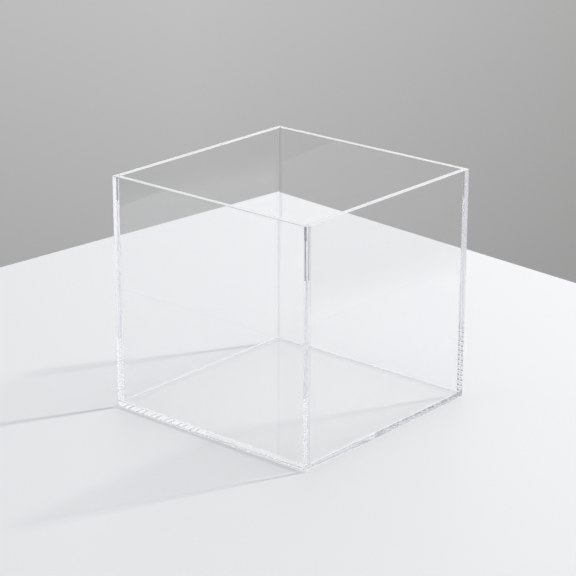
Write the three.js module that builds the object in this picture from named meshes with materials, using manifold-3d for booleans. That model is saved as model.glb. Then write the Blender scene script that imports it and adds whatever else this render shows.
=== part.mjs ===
// Clear acrylic organizer box: an open-top case of five polished sheet panels, cemented edge to face.
// Millimetres, +Z up, origin at the middle of the underside. The front wall faces -Y, the left wall -X.
import * as THREE from 'three';
import { mergeVertices } from 'three/addons/utils/BufferGeometryUtils.js';
import Module from 'manifold-3d';

const wasm = await Module();
wasm.setup();

// Driving dimensions
const BOX_WIDTH = 130; // outer size along X
const BOX_DEPTH = 130; // outer size along Y
const BOX_HEIGHT = 127; // table to rim
const WALL_SHEET = 3; // thickness of the four walls
const BASE_SHEET = 3; // thickness of the base
const CORNER_BOND = 0.1; // cement line in an upright corner
const BASE_BOND = 0.1; // cement line between a wall and the base
const BOND_SETBACK = 0.4; // how far the cement stops short of a joint's edges
const ARRIS = 0.3; // width of the eased, polished corners that a hand can touch

// Planes that the panels share
const LEFT = -BOX_WIDTH / 2;
const RIGHT = BOX_WIDTH / 2;
const FRONT = -BOX_DEPTH / 2;
const BACK = BOX_DEPTH / 2;
const INNER_LEFT = LEFT + WALL_SHEET;
const INNER_RIGHT = RIGHT - WALL_SHEET;
const INNER_FRONT = FRONT + WALL_SHEET;
const INNER_BACK = BACK - WALL_SHEET;
const WALL_FOOT = BASE_SHEET + BASE_BOND;
const RIM = BOX_HEIGHT;

// Finishes
const ACRYLIC_COLOUR = 0xeef0f6;
const ACRYLIC_ROUGHNESS = 0.04;
const ACRYLIC_OPACITY = 0.3;
const CEMENT_COLOUR = 0xdcdfe8;
const CEMENT_ROUGHNESS = 0.25;
const CEMENT_OPACITY = 0.5;

// The two axes across each axis, in turning order, so that a prism keeps its faces outwards.
const ACROSS = { x: ['y', 'z'], y: ['z', 'x'], z: ['x', 'y'] };

// A block between two corners, as a three.js geometry.
function blockGeometry(block) {
  const size = block.getSize(new THREE.Vector3());
  const middle = block.getCenter(new THREE.Vector3());
  const geometry = new THREE.BoxGeometry(size.x, size.y, size.z);
  geometry.translate(middle.x, middle.y, middle.z);
  return geometry;
}

// A closed three.js geometry, as a solid that can be cut.
function toSolid(geometry) {
  const bare = geometry.clone();
  bare.deleteAttribute('normal');
  bare.deleteAttribute('uv');
  const welded = mergeVertices(bare);
  return new wasm.Manifold(
    new wasm.Mesh({
      numProp: 3,
      vertProperties: new Float32Array(welded.attributes.position.array),
      triVerts: new Uint32Array(welded.index.array),
    }),
  );
}

// A cut solid, as a flat-shaded three.js geometry.
function toGeometry(solid) {
  const mesh = solid.getMesh();
  const indexed = new THREE.BufferGeometry();
  indexed.setAttribute('position', new THREE.BufferAttribute(new Float32Array(mesh.vertProperties), 3));
  indexed.setIndex(new THREE.BufferAttribute(new Uint32Array(mesh.triVerts), 1));
  const geometry = indexed.toNonIndexed();
  geometry.computeVertexNormals();
  return geometry;
}

// The three-sided prism that eases one edge of a block at 45 degrees.
// The edge runs along `along`, on the low or high side (-1 or 1) of the two axes across it.
function arrisCutter(block, along, firstSide, secondSide, span) {
  const [first, second] = ACROSS[along];
  const corner = (axis, side) => (side > 0 ? block.max[axis] : block.min[axis]);
  const a = corner(first, firstSide);
  const b = corner(second, secondSide);
  const outwardA = firstSide * ARRIS;
  const outwardB = secondSide * ARRIS;
  const triangle = new THREE.Shape([
    new THREE.Vector2(a + outwardA, b + outwardB),
    new THREE.Vector2(a - 2 * outwardA, b + outwardB),
    new THREE.Vector2(a + outwardA, b - 2 * outwardB),
  ]);
  const [from, to] = span ?? [block.min[along] - ARRIS, block.max[along] + ARRIS];
  const prism = new THREE.ExtrudeGeometry(triangle, { depth: to - from, bevelEnabled: false });
  prism.translate(0, 0, from);
  const direction = {
    x: new THREE.Vector3(1, 0, 0),
    y: new THREE.Vector3(0, 1, 0),
    z: new THREE.Vector3(0, 0, 1),
  };
  prism.applyMatrix4(new THREE.Matrix4().makeBasis(direction[first], direction[second], direction[along]));
  return prism;
}

// A sheet panel with its listed edges eased. An edge is [axis, side, side] and may end in a [from, to] span.
function panelGeometry(block, edges) {
  let solid = toSolid(blockGeometry(block));
  for (const [along, firstSide, secondSide, span] of edges) {
    solid = solid.subtract(toSolid(arrisCutter(block, along, firstSide, secondSide, span)));
  }
  return toGeometry(solid);
}

function block(x, y, z) {
  return new THREE.Box3(new THREE.Vector3(x[0], y[0], z[0]), new THREE.Vector3(x[1], y[1], z[1]));
}

function clearFinish(color, roughness, opacity) {
  return new THREE.MeshStandardMaterial({ color, roughness, metalness: 0, opacity, transparent: true });
}

function panel(name, panelBlock, edges) {
  const finish = clearFinish(ACRYLIC_COLOUR, ACRYLIC_ROUGHNESS, ACRYLIC_OPACITY);
  const mesh = new THREE.Mesh(panelGeometry(panelBlock, edges), finish);
  mesh.name = name;
  return mesh;
}

// A cement line fills the joint between two faces and is set back from the joint's edges.
function cementLine(name, joint, thickAxis) {
  const inset = new THREE.Vector3(BOND_SETBACK, BOND_SETBACK, BOND_SETBACK);
  inset[thickAxis] = 0;
  const line = new THREE.Box3(joint.min.clone().add(inset), joint.max.clone().sub(inset));
  const mesh = new THREE.Mesh(blockGeometry(line), clearFinish(CEMENT_COLOUR, CEMENT_ROUGHNESS, CEMENT_OPACITY));
  mesh.name = name;
  return mesh;
}

// Base: the full footprint, eased round its underside and its four upright corners.
function makeBase() {
  const footprint = block([LEFT, RIGHT], [FRONT, BACK], [0, BASE_SHEET]);
  const edges = [];
  for (const side of [-1, 1]) {
    edges.push(['x', side, -1]);
    edges.push(['y', -1, side]);
    edges.push(['z', side, -1]);
    edges.push(['z', side, 1]);
  }
  return panel('base_panel', footprint, edges);
}

// Walls: the back runs the full width, the sides butt on it, and the front fits between the sides.
const WALL_RISE = [WALL_FOOT, RIM];
const SIDE_RUN = [FRONT, INNER_BACK - CORNER_BOND];
const FRONT_RUN = [INNER_LEFT + CORNER_BOND, INNER_RIGHT - CORNER_BOND];

function makeBackWall() {
  return panel('back_panel', block([LEFT, RIGHT], [INNER_BACK, BACK], WALL_RISE), [
    ['x', 1, 1],
    ['x', -1, 1, [INNER_LEFT, INNER_RIGHT]],
    ['y', 1, -1],
    ['y', 1, 1],
    ['z', -1, 1],
    ['z', 1, 1],
  ]);
}

function makeSideWall(name, x, outward) {
  return panel(name, block(x, SIDE_RUN, WALL_RISE), [
    ['y', 1, outward],
    ['y', 1, -outward, [INNER_FRONT, INNER_BACK]],
    ['x', -1, 1],
    ['z', outward, -1],
  ]);
}

function makeFrontWall() {
  return panel('front_panel', block(FRONT_RUN, [FRONT, INNER_FRONT], WALL_RISE), [
    ['x', -1, 1],
    ['x', 1, 1],
  ]);
}

function makeWalls() {
  const walls = new THREE.Group();
  walls.add(makeBackWall());
  walls.add(makeSideWall('left_panel', [LEFT, INNER_LEFT], -1));
  walls.add(makeSideWall('right_panel', [INNER_RIGHT, RIGHT], 1));
  walls.add(makeFrontWall());
  return walls;
}

// Cement lines in the four upright corners.
function makeCornerBonds() {
  const bonds = new THREE.Group();
  const backJoint = [INNER_BACK - CORNER_BOND, INNER_BACK];
  const frontJoint = [FRONT, INNER_FRONT];
  const leftJoint = [INNER_LEFT, INNER_LEFT + CORNER_BOND];
  const rightJoint = [INNER_RIGHT - CORNER_BOND, INNER_RIGHT];
  bonds.add(cementLine('corner_bond_back_left', block([LEFT, INNER_LEFT], backJoint, WALL_RISE), 'y'));
  bonds.add(cementLine('corner_bond_back_right', block([INNER_RIGHT, RIGHT], backJoint, WALL_RISE), 'y'));
  bonds.add(cementLine('corner_bond_front_left', block(leftJoint, frontJoint, WALL_RISE), 'x'));
  bonds.add(cementLine('corner_bond_front_right', block(rightJoint, frontJoint, WALL_RISE), 'x'));
  return bonds;
}

// Cement lines under the four walls.
function makeBaseBonds() {
  const bonds = new THREE.Group();
  const rise = [BASE_SHEET, WALL_FOOT];
  bonds.add(cementLine('base_bond_back', block([LEFT, RIGHT], [INNER_BACK, BACK], rise), 'z'));
  bonds.add(cementLine('base_bond_left', block([LEFT, INNER_LEFT], SIDE_RUN, rise), 'z'));
  bonds.add(cementLine('base_bond_right', block([INNER_RIGHT, RIGHT], SIDE_RUN, rise), 'z'));
  bonds.add(cementLine('base_bond_front', block(FRONT_RUN, [FRONT, INNER_FRONT], rise), 'z'));
  return bonds;
}

const organizerBox = new THREE.Group();
organizerBox.add(makeBase());
organizerBox.add(makeWalls());
organizerBox.add(makeCornerBonds());
organizerBox.add(makeBaseBonds());

export default organizerBox;
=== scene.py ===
"""Looks of a clear acrylic organizer box: polished sheet panels, their cement lines and a plain studio.

Metres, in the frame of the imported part: +Z up, the front wall faces -Y and the left wall -X.
"""

import logging
import math
from collections.abc import Sequence
from dataclasses import dataclass, field, replace
from enum import Enum, IntEnum

import bmesh
import bpy
from bmesh.types import BMesh, BMFace, BMVert
from bpy.types import ID, Material, Node, NodeSocket, Object, World
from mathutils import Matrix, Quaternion, Vector


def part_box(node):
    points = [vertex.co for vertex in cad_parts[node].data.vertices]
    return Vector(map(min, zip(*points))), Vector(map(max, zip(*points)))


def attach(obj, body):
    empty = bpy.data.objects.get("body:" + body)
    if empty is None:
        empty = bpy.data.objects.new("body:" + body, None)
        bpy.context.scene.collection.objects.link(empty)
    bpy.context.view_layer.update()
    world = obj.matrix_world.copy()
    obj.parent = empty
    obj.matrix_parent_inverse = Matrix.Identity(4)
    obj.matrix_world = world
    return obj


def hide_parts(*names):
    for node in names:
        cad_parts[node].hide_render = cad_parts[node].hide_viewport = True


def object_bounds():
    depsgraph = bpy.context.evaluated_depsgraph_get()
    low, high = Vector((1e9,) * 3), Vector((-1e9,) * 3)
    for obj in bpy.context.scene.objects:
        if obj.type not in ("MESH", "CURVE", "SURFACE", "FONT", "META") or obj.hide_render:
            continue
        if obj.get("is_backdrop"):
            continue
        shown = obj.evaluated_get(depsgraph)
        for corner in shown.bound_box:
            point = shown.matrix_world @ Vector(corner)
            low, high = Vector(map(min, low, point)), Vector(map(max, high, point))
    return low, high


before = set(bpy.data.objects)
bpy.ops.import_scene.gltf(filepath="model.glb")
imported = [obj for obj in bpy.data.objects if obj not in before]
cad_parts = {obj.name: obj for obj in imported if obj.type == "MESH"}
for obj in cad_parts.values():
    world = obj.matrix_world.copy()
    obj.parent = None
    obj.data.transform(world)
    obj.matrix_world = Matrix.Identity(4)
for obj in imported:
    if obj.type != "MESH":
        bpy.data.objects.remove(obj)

Colour = tuple[float, float, float]

LOG = logging.getLogger("organizer_box")
BODY = "root"
BASE_NODE = "base_panel"

# Marks on a panel's faces, the least value that counts as marked and the most that counts as bare
SEATED = "seated"
WETTED = "wetted"
MARKED = 0.5
BARE = 0.01

# Limits of shape: the least cosine between a face's normal and the way that it faces, and the overlap, in
# metres, that rounding may leave where two faces meet
FACING = 0.5
TOUCHING = 1e-7

# Noises: the heights between which a finish goes from one end to the other, and octaves
NOISE_SPAN = (0.3, 0.7)
SOFT_NOISE = 2.0
FINE_NOISE = 3.0

# Colours that several finishes share; the white is that of the painted highlights on rims and arrises
PAINTED_HIGHLIGHT_WHITE: Colour = (0.94, 0.942, 0.955)
POLISHED_LIT: Colour = (0.985, 0.985, 0.987)


class Slot(Enum):
    """The record's material slots."""

    ACRYLIC = "clear_acrylic"
    CEMENT = "acrylic_cement"


class Axis(IntEnum):
    """The three axes of the frame."""

    X = 0
    Y = 1
    Z = 2

    @property
    def unit(self) -> Vector:
        """The unit vector along this axis."""
        return Vector([float(i == self) for i in range(3)])


class Face(IntEnum):
    """How a panel's faces are finished, in the order of its material slots."""

    SHEET = 0
    EDGE = 1
    BONDED = 2
    EASED = 3
    RIM = 4


class Wall(Enum):
    """The four walls, by the name of their CAD node."""

    BACK = "back_panel"
    LEFT = "left_panel"
    RIGHT = "right_panel"
    FRONT = "front_panel"


class Joint(Enum):
    """The kinds of joint, by how their CAD nodes' names begin, with the narrowest kind first."""

    NEAR_CORNER = "corner_bond_front_left"
    CORNER = "corner_bond"
    FOOT = "base_bond"


def rgba(colour: Colour) -> tuple[float, float, float, float]:
    """A colour with full opacity, as shader sockets take it."""
    return (*colour, 1.0)


def even_grey(level: float) -> Colour:
    """A grey, from 0 for black to 1 for white."""
    return (level, level, level)


@dataclass(frozen=True)
class Block:
    """A box between two corners.

    Attributes:
        low: its lowest corner.
        high: its highest corner.
    """

    low: Vector
    high: Vector

    @staticmethod
    def of_node(node: str) -> "Block":
        """The box that a CAD node fills at rest."""
        return Block(*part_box(node))

    def size(self) -> Vector:
        """Its extent along each axis."""
        return self.high - self.low

    def middle(self) -> Vector:
        """Its centre."""
        return (self.low + self.high) / 2

    def thin_axis(self) -> Axis:
        """The axis along which it is thinnest."""
        size = self.size()
        return min(Axis, key=lambda axis: size[axis])

    def long_axis(self) -> Axis:
        """The axis along which it is longest."""
        size = self.size()
        return max(Axis, key=lambda axis: size[axis])


@dataclass(frozen=True)
class Contact:
    """The patch of one panel's face that another panel is cemented to.

    Attributes:
        axis: the axis square to the face.
        side: 1 for the face on the high side, -1 for the low side.
        patch: the overlap of the two panels across that axis.
        wetted: the strip of the patch, along its inner border, that the cement joins optically.
    """

    axis: Axis
    side: int
    patch: Block
    wetted: Block

    @staticmethod
    def between(panel: Block, other: Block, reach: float, wet_share: float) -> "Contact | None":
        """Finds where another panel stands within reach of a face.

        Args:
            panel: the panel whose face is looked at.
            other: its neighbour.
            reach: the widest cement line.
            wet_share: the share of the joint's width, from its inner border, that the cement has wetted.

        Returns:
            The contact, or None if the two aren't neighbours.
        """
        low = Vector(map(max, panel.low, other.low))
        high = Vector(map(min, panel.high, other.high))
        gaps = [axis for axis in Axis if low[axis] - high[axis] > -TOUCHING]
        if len(gaps) != 1 or low[gaps[0]] - high[gaps[0]] > reach:
            return None
        axis = gaps[0]
        side = 1 if other.middle()[axis] > panel.middle()[axis] else -1
        patch = Block(low, high)
        across = min((a for a in Axis if a != axis), key=lambda a: patch.size()[a])
        wet_low, wet_high = low.copy(), high.copy()
        dry = patch.size()[across] * (1 - wet_share)
        if patch.middle()[across] > 0:
            wet_high[across] -= dry
        else:
            wet_low[across] += dry
        return Contact(axis, side, patch, Block(wet_low, wet_high))

    def is_faced_by(self, face: BMFace) -> bool:
        """True if a mesh face looks towards this joint."""
        return face.normal[self.axis] * self.side > FACING

    def holds(self, face: BMFace, area: Block) -> bool:
        """True if a mesh face lies in an area of this contact.

        Args:
            face: a face of the panel's mesh.
            area: the patch or its wetted strip.

        Returns:
            Whether the face looks towards the joint and its middle is in that area.
        """
        if not self.is_faced_by(face):
            return False
        middle = face.calc_center_median()
        across = [axis for axis in Axis if axis != self.axis]
        return all(area.low[a] < middle[a] < area.high[a] for a in across)


class ShaderTree:
    """The node tree of a material or a world, with short ways to add and join nodes."""

    def __init__(self, owner: Material | World) -> None:
        """Empties the owner's tree, apart from its output.

        Args:
            owner: a new material or world.
        """
        self.owner = owner
        owner.use_nodes = True
        self.nodes = owner.node_tree.nodes
        self.links = owner.node_tree.links
        self.nodes.clear()
        is_world = isinstance(owner, World)
        self.output = self.nodes.new("ShaderNodeOutputWorld" if is_world else "ShaderNodeOutputMaterial")

    @staticmethod
    def of_material(name: str) -> "ShaderTree":
        """Starts a new material."""
        return ShaderTree(bpy.data.materials.new(name))

    def add(self, kind: str, **sockets: object) -> Node:
        """Adds a node and sets its inputs, by their names in lower case with underscores.

        Args:
            kind: the node's type.
            **sockets: a value, or an output socket to link, for each input.

        Returns:
            The node.
        """
        node = self.nodes.new(kind)
        for name, value in sockets.items():
            socket = next(s for s in node.inputs if s.name.lower() == name.replace("_", " "))
            self.feed(socket, value)
        return node

    def feed(self, socket: NodeSocket, value: object) -> None:
        """Links an output to an input, or sets the input's value.

        Args:
            socket: the input.
            value: the output socket or the plain value.
        """
        if isinstance(value, NodeSocket):
            self.links.new(value, socket)
        else:
            socket.default_value = value

    def maths(self, operation: str, first: object, second: object = 0.0) -> NodeSocket:
        """Adds a Math node.

        Args:
            operation: what it works out.
            first: its first value, or an output socket to link.
            second: its second, if the operation takes one.

        Returns:
            The result.
        """
        node = self.nodes.new("ShaderNodeMath")
        node.operation = operation
        self.feed(node.inputs[0], first)
        self.feed(node.inputs[1], second)
        return node.outputs[0]

    def mixed(self, share: object, first: Node, second: Node) -> Node:
        """Mixes two shaders.

        Args:
            share: 0 to show the first shader and 1 to show the second.
            first: a shader's node.
            second: another.

        Returns:
            The mix.
        """
        node = self.nodes.new("ShaderNodeMixShader")
        self.feed(node.inputs[0], share)
        self.links.new(first.outputs[0], node.inputs[1])
        self.links.new(second.outputs[0], node.inputs[2])
        return node

    def place(self) -> NodeSocket:
        """The point that is shaded, in Object coordinates."""
        return self.nodes.new("ShaderNodeTexCoord").outputs["Object"]

    def noise(self, scale: float, detail: float) -> NodeSocket:
        """The height, about 0.5, of a noise with so many repeats in a metre and so many octaves."""
        noise = self.add("ShaderNodeTexNoise", vector=self.place(), scale=scale, detail=detail)
        return noise.outputs["Fac"]

    def lit_through(self) -> NodeSocket:
        """1 for the rays that carry light to a matt surface, 0 for those that show a picture."""
        rays = self.nodes.new("ShaderNodeLightPath").outputs
        return self.maths("MAXIMUM", rays["Is Shadow Ray"], rays["Is Diffuse Ray"])

    def shown(self) -> NodeSocket:
        """Tells the rays that show a picture from those that carry light.

        Returns:
            1 for camera, mirror and glass rays, 0 for the rest.
        """
        rays = self.nodes.new("ShaderNodeLightPath").outputs
        mirrored = self.maths("MAXIMUM", rays["Is Glossy Ray"], rays["Is Transmission Ray"])
        return self.maths("MAXIMUM", rays["Is Camera Ray"], mirrored)

    def along(self, vector: NodeSocket, axis: Vector) -> NodeSocket:
        """Measures a vector along an axis.

        Args:
            vector: the vector's socket.
            axis: the axis.

        Returns:
            How far the vector reaches along the axis.
        """
        node = self.nodes.new("ShaderNodeVectorMath")
        node.operation = "DOT_PRODUCT"
        self.links.new(vector, node.inputs[0])
        node.inputs[1].default_value = axis
        return node.outputs["Value"]

    def graded(
        self, place: NodeSocket, start: float, end: float, stops: Sequence[Colour]
    ) -> NodeSocket:
        """Grades evenly through some colours.

        Args:
            place: the value that picks the colour.
            start: the value at the first colour.
            end: the value at the last colour.
            stops: the colours, in order.

        Returns:
            The colour.
        """
        share = self.nodes.new("ShaderNodeMapRange")
        self.links.new(place, share.inputs["Value"])
        share.inputs["From Min"].default_value = start
        share.inputs["From Max"].default_value = end
        ramp = self.nodes.new("ShaderNodeValToRGB")
        self.links.new(share.outputs["Result"], ramp.inputs["Fac"])
        elements = ramp.color_ramp.elements
        while len(elements) < len(stops):
            elements.new(1.0)
        for index, colour in enumerate(stops):
            elements[index].position = index / (len(stops) - 1)
            elements[index].color = rgba(colour)
        return ramp.outputs["Color"]

    def principled(self, colour: object, roughness: object, **sockets: object) -> Node:
        """Adds a Principled shader."""
        return self.add("ShaderNodeBsdfPrincipled", base_color=colour, roughness=roughness, **sockets)

    def finish_lit(self, surface: Node, lit: Colour) -> Material:
        """Finishes a surface that passes a share of the light on to what lies behind it."""
        passing = self.add("ShaderNodeBsdfTransparent", color=rgba(lit))
        return self.finish(self.mixed(self.lit_through(), surface, passing))

    def finish(self, surface: Node) -> Material | World:
        """Joins the surface to the output and returns the tree's owner."""
        self.links.new(surface.outputs[0], self.output.inputs["Surface"])
        return self.owner


@dataclass(frozen=True)
class ClearAcrylic:
    """Clear cast acrylic, which refracts, is faintly uneven in tint, lets light fall through it and may
    carry a painted white highlight.

    Attributes:
        name: the material's name.
        clear_tint: what a ray keeps of each colour at a face where the sheet is clearest.
        deep_tint: the same where the sheet is most tinted.
        upright_lit: the share of light that an upright face passes on to what lies behind it.
        level_lit: the same for a level face.
        cloud_scale: repeats of the tint's unevenness in a metre.
        upright_gloss: how strongly light that enters an upright face at a slant is taken out.
        ior: index of refraction.
        haze: roughness left by the polishing.
        satin: the share of a face drawn as a white surface, a painted highlight that stands in for the
            light that a rounded, polished face catches.
        painted_highlight_tint: the colour of that painted highlight.
        painted_highlight_haze: its roughness.
    """

    name: str
    clear_tint: Colour
    deep_tint: Colour
    upright_lit: Colour
    level_lit: Colour
    cloud_scale: float
    upright_gloss: float = 3.0
    ior: float = 1.49
    haze: float = 0.0
    satin: float = 0.0
    painted_highlight_tint: Colour = PAINTED_HIGHLIGHT_WHITE
    painted_highlight_haze: float = 0.4

    def material(self) -> Material:
        """Builds the material.

        Returns:
            The material.
        """
        tree = ShaderTree.of_material(self.name)
        clouds = tree.noise(self.cloud_scale, SOFT_NOISE)
        tint = tree.graded(clouds, *NOISE_SPAN, [self.clear_tint, self.deep_tint])
        surface = tree.principled(tint, self.haze, ior=self.ior, transmission_weight=1.0)
        # A share of white surface mixed into the clear sheet: a painted highlight.
        if self.satin > 0:
            painted_highlight = tree.principled(rgba(self.painted_highlight_tint), self.painted_highlight_haze)
            surface = tree.mixed(self.satin, surface, painted_highlight)
        return tree.finish(tree.mixed(tree.lit_through(), surface, self.passing(tree)))

    def passing(self, tree: ShaderTree) -> Node:
        """Lets light fall through to what lies behind, less what a face mirrors where the light enters.

        Args:
            tree: the material's tree.

        Returns:
            The shader.
        """
        place = tree.add("ShaderNodeNewGeometry")
        level = tree.maths("ABSOLUTE", tree.along(place.outputs["Normal"], Axis.Z.unit))
        upright = tree.maths("SUBTRACT", 1.0, level)
        entering = tree.maths("SUBTRACT", 1.0, place.outputs["Backfacing"])
        fresnel = tree.add("ShaderNodeFresnel", ior=self.ior).outputs[0]
        gloss = tree.maths("MULTIPLY", tree.maths("MULTIPLY", fresnel, fresnel), self.upright_gloss)
        mirrored = tree.maths("MULTIPLY", gloss, tree.maths("MULTIPLY", upright, entering))
        lit = tree.graded(level, 0.0, 1.0, [self.upright_lit, self.level_lit])
        through = tree.add("ShaderNodeBsdfTransparent", color=lit)
        taken = tree.add("ShaderNodeBsdfTransparent", color=rgba(even_grey(0.0)))
        return tree.mixed(mirrored, through, taken)


@dataclass(frozen=True)
class EasedEdge:
    """An arris that was scraped and flamed, drawn as a hair's width of satin white between two clear
    faces: a painted highlight that stands in for the light that the rounded edge catches.

    Attributes:
        name: the material's name.
        bright: the brighter colour of the painted highlight, in some stretches.
        dull: its duller colour, in other stretches.
        satin: roughness of the brighter and of the duller stretches.
        stretch_scale: repeats of those stretches in a metre.
        lit: the share of light that it passes on to what lies behind it.
    """

    name: str
    bright: Colour
    dull: Colour
    satin: tuple[float, float]
    stretch_scale: float
    lit: Colour

    def material(self) -> Material:
        """Builds the material.

        Returns:
            The material.
        """
        tree = ShaderTree.of_material(self.name)
        stretches = tree.noise(self.stretch_scale, FINE_NOISE)
        colour = tree.graded(stretches, *NOISE_SPAN, [self.bright, self.dull])
        satin = tree.graded(stretches, *NOISE_SPAN, [even_grey(value) for value in self.satin])
        # A white surface along the arris: a painted highlight, brighter and duller in random stretches.
        return tree.finish_lit(tree.principled(colour, satin), self.lit)


@dataclass(frozen=True)
class BondedFace:
    """A face that cement has wetted all over, so that two panels look like one body there.

    Attributes:
        name: the material's name.
        tint: what a ray keeps of each colour there.
    """

    name: str
    tint: Colour

    def material(self) -> Material:
        """Builds the material."""
        tree = ShaderTree.of_material(self.name)
        return tree.finish(tree.add("ShaderNodeBsdfTransparent", color=rgba(self.tint)))


@dataclass(frozen=True)
class CementWithPaintedReflection:
    """Clear cement with a slate grey band on the inner side of a joint, near the rim. The band is a
    painted dark reflection of the dark surroundings that light guided along the edge shows.

    Attributes:
        name: the material's name.
        clear: what a ray keeps of each colour where the cement is sound.
        painted_reflection_colour: the colour of the painted dark reflection.
        haze: its roughness.
        cover: how much of what lies behind the painted reflection it hides.
        streak_width: how far the painted reflection reaches from the joint's inner border.
        streak_drop: the depths below the joint's upper end at which the painted reflection begins and is
            full.
        lit: the share of light that the cement passes on to what lies behind it.
    """

    name: str
    clear: Colour
    painted_reflection_colour: Colour
    haze: float
    cover: float
    streak_width: float
    streak_drop: tuple[float, float]
    lit: Colour

    def material(self, joint: Block) -> Material:
        """Builds the material.

        Args:
            joint: the box that the cement fills.

        Returns:
            The material.
        """
        tree = ShaderTree.of_material(self.name)
        place = tree.place()
        level_axes = (Axis.X, Axis.Y)
        reaches = [tree.maths("ABSOLUTE", tree.along(place, axis.unit)) for axis in level_axes]
        border = max(min(abs(joint.low[axis]), abs(joint.high[axis])) for axis in level_axes)
        inner = tree.maths("LESS_THAN", tree.maths("MAXIMUM", *reaches), border + self.streak_width)
        start, full = (joint.high.z - drop for drop in self.streak_drop)
        cover = [even_grey(0.0), even_grey(self.cover)]
        high = tree.graded(tree.along(place, Axis.Z.unit), start, full, cover)
        sound = tree.add("ShaderNodeBsdfTransparent", color=rgba(self.clear))
        # A slate grey surface near the top of the joint's inner border: a painted dark reflection,
        # standing in for the dark surroundings seen along the near edge.
        painted_dark_reflection = tree.principled(rgba(self.painted_reflection_colour), self.haze)
        return tree.finish_lit(tree.mixed(tree.maths("MULTIPLY", inner, high), sound, painted_dark_reflection), self.lit)


@dataclass(frozen=True)
class CuredCement:
    """Cured cement: a thin milky layer, whiter in some patches than in others.

    Attributes:
        name: the material's name.
        thin: the colour where the layer is thin.
        thick: the colour where it is thick.
        haze: its roughness.
        lit: the share of light that it passes on to what lies behind it.
        patch_scale: repeats of the patches in a metre.
    """

    name: str
    thin: Colour
    thick: Colour
    haze: float
    lit: Colour
    patch_scale: float

    def material(self) -> Material:
        """Builds the material.

        Returns:
            The material.
        """
        tree = ShaderTree.of_material(self.name)
        patches = tree.noise(self.patch_scale, FINE_NOISE)
        colour = tree.graded(patches, *NOISE_SPAN, [self.thin, self.thick])
        return tree.finish_lit(tree.principled(colour, self.haze), self.lit)


SHEET_FINISH = ClearAcrylic(
    name="clear_sheet_face",
    clear_tint=(0.999, 0.999, 0.999),
    deep_tint=(0.994, 0.995, 0.997),
    upright_lit=(0.995, 0.995, 0.996),
    level_lit=(0.998, 0.998, 0.998),
    cloud_scale=18.0,
)
# The rim is half white surface: a painted highlight standing in for the light that the rounded rim
# catches from the bright floor below.
RIM_FINISH = ClearAcrylic(
    name="flamed_rim",
    clear_tint=(0.999, 0.999, 0.999),
    deep_tint=(0.99, 0.991, 0.997),
    upright_lit=POLISHED_LIT,
    level_lit=POLISHED_LIT,
    cloud_scale=60.0,
    haze=0.2,
    satin=0.5,
)
EDGE_FINISH = ClearAcrylic(
    name="polished_sheet_edge",
    clear_tint=(0.972, 0.975, 0.99),
    deep_tint=(0.945, 0.951, 0.979),
    upright_lit=(0.48, 0.485, 0.5),
    level_lit=POLISHED_LIT,
    cloud_scale=60.0,
)
BASE_EDGE_FINISH = replace(EDGE_FINISH, name="polished_base_edge", upright_lit=(0.76, 0.77, 0.78))
# The arris's satin white is a painted highlight.
EASED_FINISH = EasedEdge(
    name="satin_eased_edge",
    bright=PAINTED_HIGHLIGHT_WHITE,
    dull=(0.86, 0.865, 0.885),
    satin=(0.25, 0.5),
    stretch_scale=90.0,
    lit=POLISHED_LIT,
)
BONDED_FINISH = BondedFace(name="cemented_sheet_face", tint=(0.995, 0.995, 0.998))
CORNER_CEMENT_FINISH = BondedFace(name="clear_corner_cement", tint=(0.96, 0.962, 0.97))
# The near corner's cement carries a painted dark reflection in its upper part.
CEMENT_WITH_PAINTED_REFLECTION_FINISH = CementWithPaintedReflection(
    name="streaked_corner_cement",
    clear=(0.99, 0.991, 0.995),
    painted_reflection_colour=(0.55, 0.57, 0.63),
    haze=0.3,
    cover=0.9,
    streak_width=0.0007,
    streak_drop=(0.0281, 0.0261),
    lit=(0.99, 0.99, 0.99),
)
FOOT_CEMENT_FINISH = CuredCement(
    name="milky_foot_cement",
    thin=(0.955, 0.957, 0.972),
    thick=(0.982, 0.984, 0.993),
    haze=0.25,
    lit=POLISHED_LIT,
    patch_scale=160.0,
)


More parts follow.
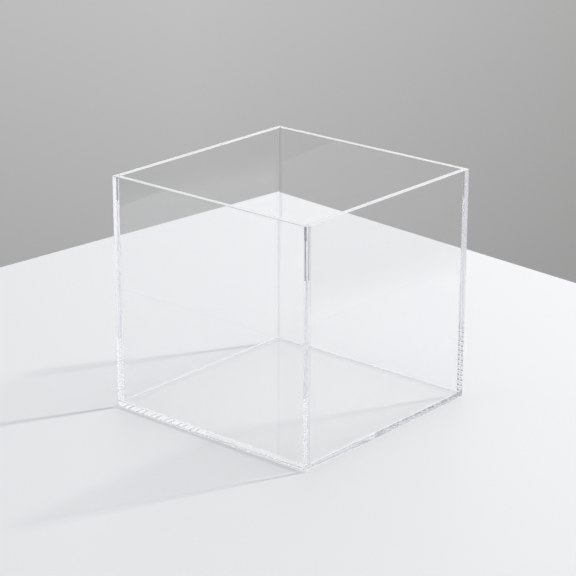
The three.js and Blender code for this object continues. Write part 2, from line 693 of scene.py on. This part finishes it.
class NodeTree:
    """A Geometry Nodes tree, with short ways to add sockets, nodes and links."""

    def __init__(self, name: str) -> None:
        """Starts a tree with its two group nodes.

        Args:
            name: the tree's name.
        """
        self.tree = bpy.data.node_groups.new(name, "GeometryNodeTree")
        self.start = self.tree.nodes.new("NodeGroupInput")
        self.end = self.tree.nodes.new("NodeGroupOutput")

    def ask(self, name: str, kind: str) -> None:
        """Adds a named input."""
        self.tree.interface.new_socket(name, in_out="INPUT", socket_type=kind)

    def give(self, socket: NodeSocket) -> None:
        """Adds the geometry output and joins a socket to it."""
        self.tree.interface.new_socket("Geometry", in_out="OUTPUT", socket_type="NodeSocketGeometry")
        self.tree.links.new(socket, self.end.inputs["Geometry"])

    def add(self, kind: str, *values: object, **settings: object) -> Node:
        """Adds a node.

        Args:
            kind: the node's type.
            *values: a value, a socket to link or None, for each input that the node shows, in order.
            **settings: the node's own properties.

        Returns:
            The node.
        """
        node = self.tree.nodes.new(kind)
        for name, value in settings.items():
            setattr(node, name, value)
        open_inputs = [socket for socket in node.inputs if socket.enabled]
        for socket, value in zip(open_inputs, values):
            if isinstance(value, NodeSocket):
                self.tree.links.new(value, socket)
            elif value is not None:
                socket.default_value = value
        return node

    def compared(self, first: object, operation: str, second: object) -> NodeSocket:
        """Compares two numbers and returns whether it holds."""
        node = self.add("FunctionNodeCompare", first, second, data_type="FLOAT", operation=operation)
        return node.outputs[0]

    def asked(self, name: str) -> NodeSocket:
        """The group input of that name."""
        return self.start.outputs[name]

    def use_on(self, piece: Object, **values: object) -> None:
        """Puts the tree on a piece as a modifier.

        Args:
            piece: the object.
            **values: a value for each named input, with underscores for spaces.
        """
        modifier = piece.modifiers.new(self.tree.name, "NODES")
        modifier.node_group = self.tree
        identifiers = {
            item.name.lower().replace(" ", "_"): item.identifier
            for item in self.tree.interface.items_tree
            if item.in_out == "INPUT"
        }
        for name, value in values.items():
            modifier[identifiers[name]] = value


def eased_sheet_tree() -> NodeTree:
    """Builds the rule that finishes a cut sheet.

    An edge is marked for easing where two free faces meet, and less so if it stands upright. A face is
    bonded where the blank says so, a sheet face where it lies square to the thickness, a rim where it
    faces up and a polished edge elsewhere.

    Returns:
        The tree.
    """
    tree = NodeTree("eased_sheet")
    tree.ask("Geometry", "NodeSocketGeometry")
    tree.ask("Thickness Axis", "NodeSocketVector")
    tree.ask("Least Fold", "NodeSocketFloat")
    tree.ask("Upright Ease", "NodeSocketFloat")
    for name in ("Sheet", "Edge", "Rim", "Bonded"):
        tree.ask(name, "NodeSocketMaterial")
    seated = tree.add("GeometryNodeInputNamedAttribute", SEATED, data_type="FLOAT").outputs[0]
    wetted = tree.add("GeometryNodeInputNamedAttribute", WETTED, data_type="FLOAT").outputs[0]
    fold = tree.add("GeometryNodeInputMeshEdgeAngle").outputs[0]
    free = tree.compared(seated, "LESS_THAN", BARE)
    folded = tree.compared(fold, "GREATER_THAN", tree.asked("Least Fold"))
    eased = tree.add("FunctionNodeBooleanMath", free, folded, operation="AND")
    ends = tree.add("GeometryNodeInputMeshEdgeVertices").outputs
    run = tree.add("ShaderNodeVectorMath", ends["Position 1"], ends["Position 2"], operation="SUBTRACT")
    way = tree.add("ShaderNodeVectorMath", run.outputs[0], operation="NORMALIZE")
    rise = tree.add("ShaderNodeVectorMath", way.outputs[0], Axis.Z.unit, operation="DOT_PRODUCT")
    upright = tree.add("ShaderNodeMath", rise.outputs["Value"], operation="ABSOLUTE")
    least = tree.asked("Upright Ease")
    weight = tree.add("ShaderNodeMapRange", upright.outputs[0], 0.0, 1.0, 1.0, least)
    share = tree.add("ShaderNodeMath", weight.outputs[0], eased.outputs[0], operation="MULTIPLY")
    marked = tree.add(
        "GeometryNodeStoreNamedAttribute",
        tree.asked("Geometry"),
        True,
        "bevel_weight_edge",
        share.outputs[0],
        data_type="FLOAT",
        domain="EDGE",
    )
    normal = tree.add("GeometryNodeInputNormal").outputs[0]
    through = tree.asked("Thickness Axis")
    lean = tree.add("ShaderNodeVectorMath", normal, through, operation="DOT_PRODUCT")
    size = tree.add("ShaderNodeMath", lean.outputs["Value"], operation="ABSOLUTE")
    flat = tree.compared(size.outputs[0], "GREATER_THAN", FACING)
    up = tree.add("ShaderNodeVectorMath", normal, Axis.Z.unit, operation="DOT_PRODUCT")
    topmost = tree.compared(up.outputs["Value"], "GREATER_THAN", FACING)
    bonded = tree.compared(wetted, "GREATER_THAN", MARKED)
    whole = tree.add("GeometryNodeRealizeInstances", marked.outputs[0])
    edge = tree.add("GeometryNodeSetMaterial", whole.outputs[0], True, tree.asked("Edge"))
    rim = tree.add("GeometryNodeSetMaterial", edge.outputs[0], topmost, tree.asked("Rim"))
    sheet = tree.add("GeometryNodeSetMaterial", rim.outputs[0], flat, tree.asked("Sheet"))
    joint = tree.add("GeometryNodeSetMaterial", sheet.outputs[0], bonded, tree.asked("Bonded"))
    tree.give(joint.outputs[0])
    return tree


def cement_line_tree() -> NodeTree:
    """Builds the rule for a cement line: a strip with rounded borders, swept along its joint.

    Returns:
        The tree.
    """
    tree = NodeTree("cement_line")
    for name in ("Start", "End", "Across"):
        tree.ask(name, "NodeSocketVector")
    for name in ("Width", "Thickness", "Border"):
        tree.ask(name, "NodeSocketFloat")
    tree.ask("Border Steps", "NodeSocketInt")
    tree.ask("Cement", "NodeSocketMaterial")
    ends = (tree.asked("Start"), tree.asked("End"))
    joint = tree.add("GeometryNodeCurvePrimitiveLine", *ends, mode="POINTS")
    across = tree.asked("Across")
    turned = tree.add("GeometryNodeSetCurveNormal", joint.outputs[0], True, across, mode="FREE")
    sides = (tree.asked("Width"), tree.asked("Thickness"))
    section = tree.add("GeometryNodeCurvePrimitiveQuadrilateral", *sides, mode="RECTANGLE")
    rounded = tree.add("GeometryNodeFilletCurve", section.outputs[0], mode="POLY")
    tree.tree.links.new(tree.asked("Border Steps"), rounded.inputs["Count"])
    tree.tree.links.new(tree.asked("Border"), rounded.inputs["Radius"])
    strip = tree.add("GeometryNodeCurveToMesh", turned.outputs[0], rounded.outputs[0])
    strip.inputs["Fill Caps"].default_value = True
    whole = tree.add("GeometryNodeRealizeInstances", strip.outputs[0])
    dressed = tree.add("GeometryNodeSetMaterial", whole.outputs[0], True, tree.asked("Cement"))
    tree.give(dressed.outputs[0])
    return tree


def new_object(name: str, data: ID) -> Object:
    """Puts a mesh, a lamp or a camera in the scene.

    Args:
        name: the object's name.
        data: the mesh, the lamp or the camera.

    Returns:
        The object.
    """
    item = bpy.data.objects.new(name, data)
    bpy.context.scene.collection.objects.link(item)
    return item


def settle(piece: Object) -> None:
    """Turns what a piece's modifiers make into its plain mesh, and removes the modifiers.

    Args:
        piece: the object.
    """
    evaluated = piece.evaluated_get(bpy.context.evaluated_depsgraph_get())
    mesh = bpy.data.meshes.new_from_object(evaluated)
    piece.modifiers.clear()
    piece.data = mesh
    mesh.name = piece.name


def hand_over(piece: Object, node: str) -> None:
    """Tells the frame what a finished piece stands for.

    Args:
        piece: the object.
        node: the CAD node that it replaces.
    """
    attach(piece, BODY)
    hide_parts(node)
    LOG.info("%s stands for %s, %d faces", piece.name, node, len(piece.data.polygons))


@dataclass
class SheetPanel:
    """One sheet of the box: cut square, eased where a hand can touch it and polished on its ends.

    Attributes:
        node: the CAD node.
        neighbours: the CAD nodes that it is cemented to, and the share of each joint that is wetted.
        arris: radius of the eased edges.
        arris_steps: flats round an eased edge.
        upright_ease: the radius of an upright eased edge, as a share of the arris.
        reach: the widest cement line.
        least_fold: the flattest fold that counts as an edge, in radians.
    """

    node: str
    neighbours: dict[str, float]
    arris: float = 0.0002
    arris_steps: int = 3
    upright_ease: float = 0.25
    reach: float = 0.00015
    least_fold: float = math.radians(45)

    def contacts(self) -> list[Contact]:
        """Finds the patches of this panel that are cemented to its neighbours.

        Returns:
            The contacts.
        """
        block = Block.of_node(self.node)
        found = [
            Contact.between(block, Block.of_node(other), self.reach, wet_share)
            for other, wet_share in self.neighbours.items()
        ]
        return [contact for contact in found if contact is not None]

    def blank(self) -> BMesh:
        """Cuts the blank: the panel's block, with each cemented patch split off and marked.

        Returns:
            The mesh, to be freed by the caller.
        """
        block = Block.of_node(self.node)
        blank = bmesh.new()
        bmesh.ops.create_cube(blank, size=1.0)
        for vertex in blank.verts:
            vertex.co = block.middle() + vertex.co * block.size()
        blank.normal_update()
        contacts = self.contacts()
        for contact in contacts:
            self.split(blank, contact)
        seated = blank.faces.layers.float.new(SEATED)
        wetted = blank.faces.layers.float.new(WETTED)
        for face in blank.faces:
            face[seated] = float(any(contact.holds(face, contact.patch) for contact in contacts))
            face[wetted] = float(any(contact.holds(face, contact.wetted) for contact in contacts))
        return blank

    def split(self, blank: BMesh, contact: Contact) -> None:
        """Splits a face along the borders of a cemented patch and of its wetted strip.

        Args:
            blank: the panel's mesh.
            contact: the patch.
        """
        areas = (contact.patch, contact.wetted)
        for axis in Axis:
            if axis == contact.axis:
                continue
            for level in sorted({corner[axis] for area in areas for corner in (area.low, area.high)}):
                faces = [face for face in blank.faces if contact.is_faced_by(face)]
                edges = {edge for face in faces for edge in face.edges}
                verts = {vertex for face in faces for vertex in face.verts}
                where = contact.patch.middle()
                where[axis] = level
                bmesh.ops.bisect_plane(
                    blank,
                    geom=[*verts, *edges, *faces],
                    dist=self.reach,
                    plane_co=where,
                    plane_no=axis.unit,
                )
                blank.normal_update()

    def build(self, rule: NodeTree, finishes: dict[Face, Material]) -> Object:
        """Makes the panel, eases its edges and dresses its faces.

        Args:
            rule: the tree that marks its edges and faces.
            finishes: the material of each kind of face.

        Returns:
            The finished piece.
        """
        mesh = bpy.data.meshes.new(self.node)
        blank = self.blank()
        blank.to_mesh(mesh)
        blank.free()
        for kind in Face:
            mesh.materials.append(finishes[kind])
        piece = new_object(f"clear_{self.node}", mesh)
        rule.use_on(
            piece,
            thickness_axis=Block.of_node(self.node).thin_axis().unit,
            least_fold=self.least_fold,
            upright_ease=self.upright_ease,
            sheet=finishes[Face.SHEET],
            edge=finishes[Face.EDGE],
            rim=finishes[Face.RIM],
            bonded=finishes[Face.BONDED],
        )
        ease = piece.modifiers.new("ease", "BEVEL")
        ease.limit_method = "WEIGHT"
        ease.width = self.arris
        ease.segments = self.arris_steps
        ease.material = Face.EASED
        settle(piece)
        hand_over(piece, self.node)
        return piece


@dataclass
class CementLine:
    """The cement in one joint.

    Attributes:
        node: the CAD node.
        clearance: how far the strip stays off the two faces that it joins.
        border_share: radius of its rounded borders, as a share of its thickness.
        border_steps: flats round its borders.
    """

    node: str
    clearance: float = 0.00002
    border_share: float = 0.45
    border_steps: int = 3

    def joint(self) -> Joint:
        """The kind of joint that it fills."""
        return next(kind for kind in Joint if self.node.startswith(kind.value))

    def build(self, rule: NodeTree, finish: Material) -> Object:
        """Sweeps the strip along its joint.

        Args:
            rule: the tree that makes the strip.
            finish: its material.

        Returns:
            The finished piece.
        """
        block = Block.of_node(self.node)
        along, through = block.long_axis(), block.thin_axis()
        across = next(axis for axis in Axis if axis not in (along, through))
        start, end = block.middle(), block.middle()
        start[along], end[along] = block.low[along], block.high[along]
        thickness = block.size()[through] - 2 * self.clearance
        piece = new_object(f"clear_{self.node}", bpy.data.meshes.new(self.node))
        rule.use_on(
            piece,
            start=start,
            end=end,
            across=across.unit,
            width=block.size()[across],
            thickness=thickness,
            border=thickness * self.border_share,
            border_steps=self.border_steps,
            cement=finish,
        )
        settle(piece)
        hand_over(piece, self.node)
        return piece


@dataclass
class OrganizerBox:
    """The whole box: a base, four walls on it and the cement that joins them.

    Attributes:
        corner_wetting: the share of an upright joint that the cement has wetted.
        foot_wetting: the share of a wall's foot that the cement has wetted.
        finishes: the material of each kind of face.
        base_finishes: the same for the base.
    """

    corner_wetting: float = 1.0
    foot_wetting: float = 0.62
    finishes: dict[Face, Material] = field(default_factory=dict)
    base_finishes: dict[Face, Material] = field(default_factory=dict)

    def dress(self) -> None:
        """Makes the finishes of the panels' faces."""
        self.finishes = {
            Face.SHEET: SHEET_FINISH.material(),
            Face.EDGE: EDGE_FINISH.material(),
            Face.BONDED: BONDED_FINISH.material(),
            Face.EASED: EASED_FINISH.material(),
            Face.RIM: RIM_FINISH.material(),
        }
        self.base_finishes = {**self.finishes, Face.EDGE: BASE_EDGE_FINISH.material()}

    def panels(self) -> list[SheetPanel]:
        """Lists the panels, with the joints that each takes part in.

        Returns:
            The base and the four walls.
        """
        panels = [SheetPanel(BASE_NODE, {wall.value: self.foot_wetting for wall in Wall})]
        for wall in Wall:
            corners = {other.value: self.corner_wetting for other in Wall if other != wall}
            panels.append(SheetPanel(wall.value, {BASE_NODE: self.foot_wetting, **corners}))
        return panels

    def cement_lines(self) -> list[CementLine]:
        """The cement in every joint that the CAD part names."""
        starts = tuple(kind.value for kind in Joint)
        return [CementLine(node) for node in sorted(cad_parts) if node.startswith(starts)]

    def build(self) -> list[Object]:
        """Builds and dresses every piece.

        Returns:
            The pieces.
        """
        self.dress()
        sheet_rule = eased_sheet_tree()
        pieces = []
        for panel in self.panels():
            finishes = self.base_finishes if panel.node == BASE_NODE else self.finishes
            pieces.append(panel.build(sheet_rule, finishes))
        cement_rule = cement_line_tree()
        cements = {
            Joint.NEAR_CORNER: CEMENT_WITH_PAINTED_REFLECTION_FINISH.material(Block.of_node(Joint.NEAR_CORNER.value)),
            Joint.CORNER: CORNER_CEMENT_FINISH.material(),
            Joint.FOOT: FOOT_CEMENT_FINISH.material(),
        }
        for line in self.cement_lines():
            pieces.append(line.build(cement_rule, cements[line.joint()]))
        return pieces


@dataclass
class Studio:
    """A plain pale floor with a grey backdrop that shows a painted glow, soft light and the camera.

    Lengths are in widths of the box, so that the set-up goes with the part, apart from those in metres.

    Attributes:
        width: the box's width, in metres.
        floor_drop: how far the floor lies under the base, in metres.
        floor_outline: the floor's corners, seen from above.
        floor_depth: the floor's thickness.
        floor_colours: its colours, in the order in which they follow each other.
        floor_fall_heading: the level direction in which they do.
        floor_fall: how far in that direction the first and the last of them lie.
        floor_haze: its roughness.
        backdrop_distance: how far behind the box the backdrop stands.
        backdrop_half_width: how far it reaches to each side.
        backdrop_low: the height of its lower edge.
        backdrop_high: the height of its upper edge.
        backdrop_graded_over: how far to each side its colours are spread.
        backdrop_glow_greys: its colours, from left to right, darker on the right as painted shade.
        backdrop_painted_shade_heights: the heights between which its painted glow dims downwards, as
            painted shade.
        backdrop_painted_shade_level: the brightness that the painted glow keeps at the lower of them.
        room_light: strength of the room's even light.
        room_light_colour: the colour of that light.
        room_colours: the walls that mirrors and glass show, from left to right.
        ground_colours: the ground that they show, from left to right.
        room_rise: sines of the slopes between which the ground gives way to the walls.
        key_heading: the level direction to the lamp.
        key_height_deg: the lamp's height over the floor, as an angle.
        key_distance: how far away the lamp hangs.
        key_size: its width.
        key_power: its power in watts.
        eye: the camera's place.
        heading_deg: the direction that it looks in, clockwise from +Y.
        drop_deg: how far it looks down.
        roll_deg: how far it is turned about its line of sight.
        lens_mm: its focal length.
        sensor_mm: the width of its sensor.
        bounces: how often a ray may bounce, which lets it run along a panel.
    """

    width: float
    floor_drop: float = 0.0002
    floor_outline: tuple[tuple[float, float], ...] = (
        (2.21, 1.99),
        (-13.7, 3.5),
        (-14.0, -12.2),
        (6.0, -12.2),
        (6.0, -0.9),
        (1.985, -0.2),
    )
    floor_depth: float = 0.01
    floor_colours: tuple[Colour, ...] = ((0.85, 0.853, 0.86), (0.5, 0.503, 0.51), (0.28, 0.282, 0.286))
    floor_fall_heading: tuple[float, float] = (0.2, -0.98)
    floor_fall: tuple[float, float] = (1.7, 2.08)
    floor_haze: float = 0.5
    backdrop_distance: float = 12.0
    backdrop_half_width: float = 30.0
    backdrop_low: float = -12.0
    backdrop_high: float = 0.5
    backdrop_graded_over: float = 3.0
    backdrop_glow_greys: tuple[Colour, ...] = (
        (0.498, 0.502, 0.5),
        (0.528, 0.531, 0.53),
        (0.482, 0.482, 0.48),
        (0.42, 0.419, 0.415),
    )
    backdrop_painted_shade_heights: tuple[float, float] = (-3.5, -0.9)
    backdrop_painted_shade_level: float = 0.8
    room_light: float = 0.43
    room_light_colour: Colour = (0.95, 0.97, 1.0)
    room_colours: tuple[Colour, ...] = ((0.38, 0.385, 0.40), (0.88, 0.883, 0.89), (1.0, 1.0, 1.0))
    ground_colours: tuple[Colour, ...] = ((0.36, 0.363, 0.37), (0.36, 0.362, 0.366), (0.9, 0.9, 0.9))
    room_rise: tuple[float, float] = (-0.25, 0.1)
    key_heading: tuple[float, float] = (0.894, -0.447)
    key_height_deg: float = 42.0
    key_distance: float = 24.0
    key_size: float = 1.4
    key_power: float = 84.0
    eye: tuple[float, float, float] = (-6.094, -5.215, 3.334)
    heading_deg: float = 49.344
    drop_deg: float = 19.515
    roll_deg: float = 0.12
    lens_mm: float = 132.0
    sensor_mm: float = 36.0
    bounces: int = 64

    def ahead(self) -> Vector:
        """The level direction that the camera looks in."""
        heading = math.radians(self.heading_deg)
        return Vector((math.sin(heading), math.cos(heading), 0.0))

    def right(self) -> Vector:
        """The level direction to the camera's right."""
        ahead = self.ahead()
        return Vector((ahead.y, -ahead.x, 0.0))

    @staticmethod
    def surface(shape: BMesh, finish: Material) -> Object:
        """Puts a surface of the studio in the scene, under the name of its finish.

        Args:
            shape: its mesh, which is freed.
            finish: its material.

        Returns:
            The object.
        """
        mesh = bpy.data.meshes.new(finish.name)
        shape.to_mesh(mesh)
        shape.free()
        mesh.materials.append(finish)
        return new_object(finish.name, mesh)

    def floor(self) -> None:
        """Builds the pale floor, a slab whose far corner lies behind the box."""
        shape = bmesh.new()
        drop = Axis.Z.unit * self.floor_drop
        outline = [Vector((x, y, 0.0)) * self.width - drop for x, y in self.floor_outline]
        top = shape.faces.new([shape.verts.new(corner) for corner in outline])
        under = bmesh.ops.extrude_face_region(shape, geom=[top])["geom"]
        for part in under:
            if isinstance(part, BMVert):
                part.co.z -= self.floor_depth * self.width
        bmesh.ops.recalc_face_normals(shape, faces=shape.faces)
        floor = self.surface(shape, self.floor_material())
        floor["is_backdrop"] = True

    def floor_material(self) -> Material:
        """Builds the floor's matt pale finish, which falls off to grey in front, out of the picture.

        Returns:
            The material.
        """
        tree = ShaderTree.of_material("pale_floor")
        heading = Vector((*self.floor_fall_heading, 0.0))
        start, end = (level * self.width for level in self.floor_fall)
        pale = tree.graded(tree.along(tree.place(), heading), start, end, self.floor_colours)
        return tree.finish(tree.principled(pale, self.floor_haze))

    def backdrop(self) -> None:
        """Builds the grey backdrop, whose look is a painted glow."""
        right = self.right()
        middle = self.ahead() * self.backdrop_distance * self.width
        low, high = self.backdrop_low, self.backdrop_high
        shape = bmesh.new()
        vertices = []
        for side, level in ((-1, high), (1, high), (1, low), (-1, low)):
            offset = right * side * self.backdrop_half_width + Axis.Z.unit * level
            vertices.append(shape.verts.new(middle + offset * self.width))
        shape.faces.new(vertices)
        backdrop = self.surface(shape, self.backdrop_material(right))
        backdrop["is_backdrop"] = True

    def backdrop_material(self, right: Vector) -> Material:
        """Builds the backdrop: matt grey for the light that falls on it, and for camera, mirror and glass
        rays a painted glow that darkens a little to the right and downwards as painted shade.

        Args:
            right: the level direction to the camera's right.

        Returns:
            The material.
        """
        tree = ShaderTree.of_material("plain_backdrop")
        place = tree.place()
        edge = self.backdrop_graded_over * self.width
        # Darker to the right and downwards: painted shade on the backdrop.
        grey = tree.graded(tree.along(place, right), -edge, edge, self.backdrop_glow_greys)
        low, high = (level * self.width for level in self.backdrop_painted_shade_heights)
        painted_shade_levels = [even_grey(self.backdrop_painted_shade_level), even_grey(1.0)]
        painted_shade = tree.graded(tree.along(place, Axis.Z.unit), low, high, painted_shade_levels)
        matt = tree.add("ShaderNodeBsdfDiffuse", color=grey)
        # Camera, mirror and glass rays see a painted glow instead of the lit grey.
        painted_glow = tree.add("ShaderNodeEmission", color=grey, strength=painted_shade)
        return tree.finish(tree.mixed(tree.shown(), matt, painted_glow))

    def surroundings(self) -> None:
        """Fills the room with even light, between walls that look brightest on the lamp's side."""
        tree = ShaderTree(bpy.data.worlds.new("soft_room"))
        heading = tree.add("ShaderNodeTexCoord").outputs["Generated"]
        sideways = tree.along(heading, self.right())
        walls = tree.graded(sideways, -1.0, 1.0, self.room_colours)
        ground = tree.graded(sideways, -1.0, 1.0, self.ground_colours)
        upper = tree.add("ShaderNodeBackground", color=walls, strength=1.0)
        lower = tree.add("ShaderNodeBackground", color=ground, strength=1.0)
        shares = [even_grey(0.0), even_grey(1.0)]
        rise = tree.graded(tree.along(heading, Axis.Z.unit), *self.room_rise, shares)
        view = tree.mixed(rise, lower, upper)
        even = rgba(self.room_light_colour)
        light = tree.add("ShaderNodeBackground", color=even, strength=self.room_light)
        bpy.context.scene.world = tree.finish(tree.mixed(tree.shown(), light, view))

    def key(self) -> None:
        """Hangs the large soft lamp to the right of the box."""
        height = math.radians(self.key_height_deg)
        level = Vector((*self.key_heading, 0.0)).normalized()
        way = level * math.cos(height) + Axis.Z.unit * math.sin(height)
        place = way * self.key_distance * self.width
        lamp = bpy.data.lights.new("soft_key", "AREA")
        lamp.shape = "SQUARE"
        lamp.size = self.key_size * self.width
        lamp.energy = self.key_power
        key = new_object("soft_key", lamp)
        key.location = place
        key.rotation_euler = (-place).to_track_quat("-Z", "Y").to_euler()
        key.visible_glossy = False
        key.visible_transmission = False

    def camera(self) -> None:
        """Sets the camera at the photograph's viewing angle."""
        drop = math.radians(self.drop_deg)
        forward = self.ahead() * math.cos(drop) - Axis.Z.unit * math.sin(drop)
        lens = bpy.data.cameras.new("camera")
        lens.lens = self.lens_mm
        lens.sensor_width = self.sensor_mm
        camera = new_object("camera", lens)
        camera.location = Vector(self.eye) * self.width
        roll = Quaternion(Axis.Z.unit, math.radians(self.roll_deg))
        camera.rotation_euler = (forward.to_track_quat("-Z", "Y") @ roll).to_euler()
        bpy.context.scene.camera = camera

    def settings(self) -> None:
        """Sets the plain view transform, and how often rays may bounce."""
        scene = bpy.context.scene
        scene.view_settings.view_transform = "Standard"
        scene.cycles.max_bounces = self.bounces
        scene.cycles.transmission_bounces = self.bounces
        scene.cycles.glossy_bounces = self.bounces
        scene.cycles.transparent_max_bounces = self.bounces

    def build(self) -> None:
        """Sets everything up round the box."""
        self.floor()
        self.backdrop()
        self.surroundings()
        self.key()
        self.camera()
        self.settings()


def main() -> None:
    """Builds the box and its studio."""
    logging.basicConfig(level=logging.INFO, format="%(message)s")
    cad_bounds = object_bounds()
    pieces = OrganizerBox().build()
    LOG.info("%d pieces", len(pieces))
    Studio(width=(cad_bounds[1] - cad_bounds[0]).x).build()


if __name__ == "__main__":
    main()
